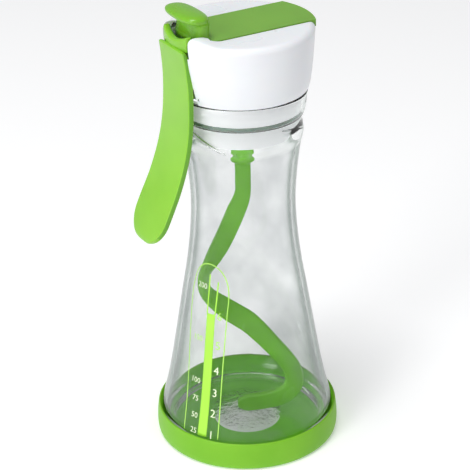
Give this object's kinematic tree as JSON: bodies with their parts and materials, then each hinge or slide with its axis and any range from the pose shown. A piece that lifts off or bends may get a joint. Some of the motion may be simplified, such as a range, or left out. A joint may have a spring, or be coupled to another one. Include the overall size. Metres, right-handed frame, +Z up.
{
  "type": "salad dressing shaker",
  "caption": "Flared clear shaker bottle in a soft base boot, with a screw-in head, a rocking pour lever and a side trigger that turns an S-shaped stirrer.",
  "frame": {"origin": "on the surface the bottle stands on, under the middle of the part's plan", "axes": "+Z up along the bottle, +X towards the pouring side, -X towards the trigger"},
  "size_m": [0.0882, 0.0794, 0.2],
  "materials": {
    "clear_plastic": "clear, polished",
    "boot_silicone": "satin silicone",
    "white_plastic": "satin moulded",
    "seal_silicone": "matt silicone",
    "green_plastic": "satin moulded",
    "gear_plastic": "natural acetal",
    "pin_steel": "bright drawn steel"
  },
  "bodies": {
    "base": {"bottle": "clear_plastic", "base_boot": "boot_silicone"},
    "ring": {"seal_ring": "seal_silicone"},
    "head": {"head_shell": "white_plastic", "neck_plug": "white_plastic", "rear_collar": "green_plastic", "lever_pin": "pin_steel", "lever_spring": "pin_steel", "trigger_pin": "pin_steel", "trigger_spring": "pin_steel", "gear_bridge": "gear_plastic", "compound_axle": "pin_steel", "bridge_screw_1": "pin_steel", "bridge_screw_2": "pin_steel", "bridge_screw_3": "pin_steel"},
    "lever": {"pour_lever": "green_plastic", "spout_seal": "seal_silicone"},
    "trigger": {"trigger": "green_plastic"},
    "rack": {"rack": "gear_plastic"},
    "gear": {"compound_gear": "gear_plastic"},
    "stirrer": {"drive_shaft": "gear_plastic", "stirrer": "green_plastic"}
  },
  "joints": [
    {"name": "head_lift", "type": "slide", "parent": "base", "child": "ring", "axis": [0, 0, 1], "range_m": [0, 0.0031]},
    {"name": "head_twist", "type": "hinge", "parent": "ring", "child": "head", "pos_m": [0.00435, 0, 0.15], "axis": [0, 0, 1], "range_deg": [0, 90]},
    {"name": "lever_tilt", "type": "hinge", "parent": "head", "child": "lever", "pos_m": [-0.00765, 0, 0.181], "axis": [0, -1, 0], "range_deg": [0, 12], "stiffness_Nm_per_rad": 0.1, "springref_deg": -5.73, "deforming": ["lever_spring"]},
    {"name": "trigger_pivot", "type": "hinge", "parent": "head", "child": "trigger", "pos_m": [-0.02065, 0, 0.1642], "axis": [0, -1, 0], "range_deg": [0, 12], "stiffness_Nm_per_rad": 0.15, "springref_deg": -5.73},
    {"name": "rack_slide", "type": "slide", "parent": "head", "child": "rack", "axis": [-1, 0, 0], "range_m": [0, 0.0027]},
    {"name": "gear_spin", "type": "hinge", "parent": "head", "child": "gear", "pos_m": [-0.00065, 0.01265, 0.165], "axis": [0, 0, 1], "range_deg": [-38, 1]},
    {"name": "stirrer_spin", "type": "hinge", "parent": "head", "child": "stirrer", "pos_m": [0.00435, 0, 0.165], "axis": [0, 0, 1], "range_deg": [-1, 90]}
  ],
  "couplings": [
    {"joint": "head_lift", "follows": "head_twist", "m_per_rad": 0.0019099},
    {"joint": "rack_slide", "follows": "trigger_pivot", "m_per_rad": 0.01223},
    {"joint": "gear_spin", "follows": "trigger_pivot", "ratio": -3.0575},
    {"joint": "stirrer_spin", "follows": "trigger_pivot", "ratio": 7.338}
  ]
}
